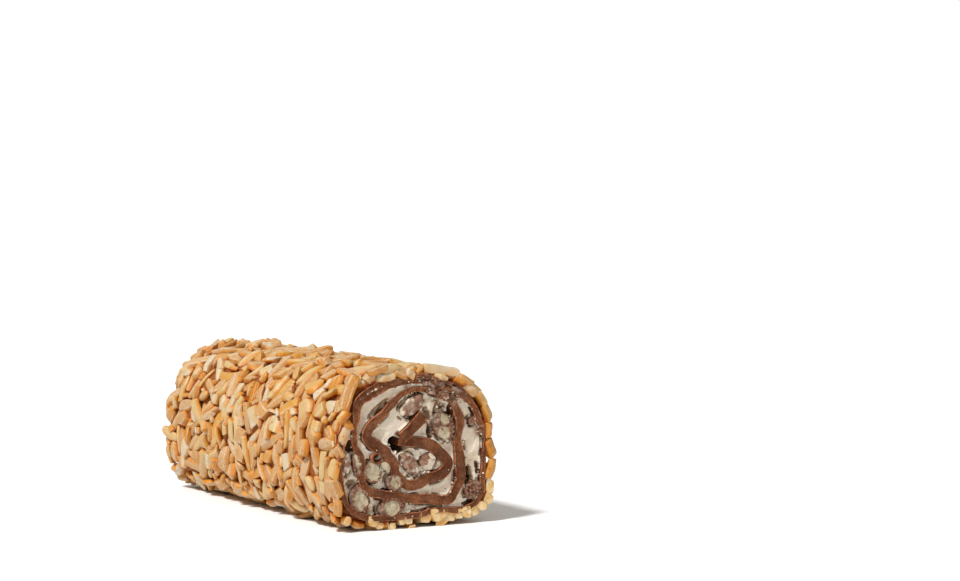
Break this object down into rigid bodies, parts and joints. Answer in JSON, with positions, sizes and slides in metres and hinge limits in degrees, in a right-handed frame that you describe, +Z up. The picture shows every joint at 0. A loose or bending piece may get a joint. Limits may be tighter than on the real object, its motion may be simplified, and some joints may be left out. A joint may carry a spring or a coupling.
{
  "type": "rolled turkish delight",
  "caption": "Log of rolled Turkish delight lying on its flat side: a chocolate sheet wound up with white cream and coated nuts, coated all round in almond slivers, cut at both ends.",
  "frame": {"origin": "on the floor under the middle of the roll", "axes": "+Y along the roll away from the near cut end, +X to the right when the near cut end is looked at, +Z up"},
  "size_m": [0.0578, 0.121, 0.0482],
  "materials": {
    "toasted_almond": "toasted, dry",
    "white_cream": "soft, moist",
    "coated_nut": "cut, grainy"
  },
  "bodies": {
    "root": {"coated_sheet": "toasted_almond", "white_cream": "white_cream", "nut_near_01": "coated_nut", "nut_near_02": "coated_nut", "nut_near_03": "coated_nut", "nut_near_04": "coated_nut", "nut_near_05": "coated_nut", "nut_near_06": "coated_nut", "nut_near_07": "coated_nut", "nut_near_08": "coated_nut", "nut_near_09": "coated_nut", "nut_near_10": "coated_nut", "nut_near_11": "coated_nut", "nut_near_12": "coated_nut", "nut_near_13": "coated_nut", "nut_far_01": "coated_nut", "nut_far_02": "coated_nut", "nut_far_03": "coated_nut", "nut_far_04": "coated_nut", "nut_far_05": "coated_nut", "nut_far_06": "coated_nut", "nut_far_07": "coated_nut", "nut_far_08": "coated_nut", "nut_far_09": "coated_nut"}
  },
  "joints": []
}
